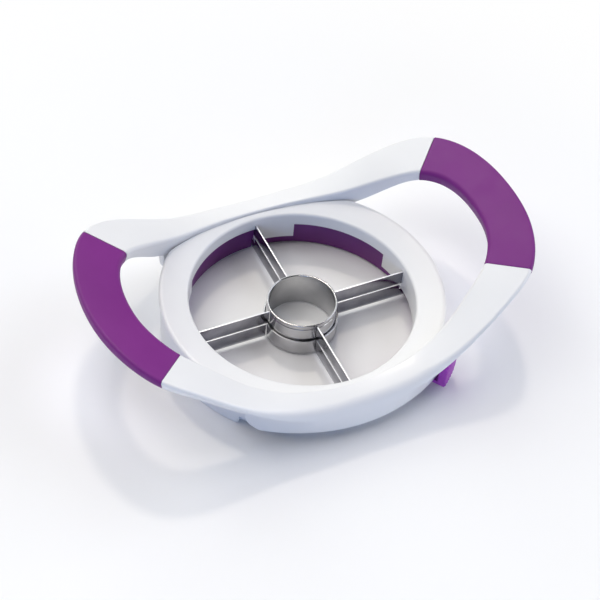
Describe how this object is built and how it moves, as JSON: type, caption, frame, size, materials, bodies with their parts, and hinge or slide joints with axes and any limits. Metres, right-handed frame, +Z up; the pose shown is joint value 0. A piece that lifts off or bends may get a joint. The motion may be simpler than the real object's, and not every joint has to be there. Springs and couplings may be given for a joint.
{
  "type": "fruit slicer",
  "caption": "Round fruit slicer with raised side handles, a corer tube and crossed blades; a lever turns another set of blades under the first for smaller pieces.",
  "frame": {"origin": "on the table, under the middle of the corer tube", "axes": "+Z up, +X towards the right-hand grip, -Y towards the front, where the lever is"},
  "size_m": [0.1802, 0.1158, 0.0475],
  "materials": {
    "white_plastic": "glossy white",
    "purple_sleeve": "satin purple",
    "purple_ring": "satin dark purple",
    "magenta_lever": "glossy bright purple",
    "blade_steel": "polished",
    "screw_steel": "plain",
    "spring_steel": "plain"
  },
  "bodies": {
    "slicer": {"handle_frame": "white_plastic", "left_grip": "purple_sleeve", "right_grip": "purple_sleeve", "cutting_ring": "white_plastic", "upper_blade_1": "blade_steel", "upper_blade_2": "blade_steel", "upper_blade_3": "blade_steel", "upper_blade_4": "blade_steel", "corer_tube": "blade_steel", "retaining_ring": "white_plastic", "detent_spring": "spring_steel", "ring_screw_1": "screw_steel", "ring_screw_2": "screw_steel", "ring_screw_3": "screw_steel", "ring_screw_4": "screw_steel", "frame_screw_1": "screw_steel", "frame_screw_2": "screw_steel", "frame_screw_3": "screw_steel", "frame_screw_4": "screw_steel"},
    "blade_carrier": {"turning_ring": "purple_ring", "lever": "magenta_lever", "lower_hub": "blade_steel", "lower_blade_1": "blade_steel", "lower_blade_2": "blade_steel", "lower_blade_3": "blade_steel", "lower_blade_4": "blade_steel"}
  },
  "joints": [
    {"name": "blade_ring_turn", "type": "hinge", "parent": "slicer", "child": "blade_carrier", "pos_m": [0, 0, 0], "axis": [0, 0, 1], "range_deg": [-45, 0]}
  ]
}
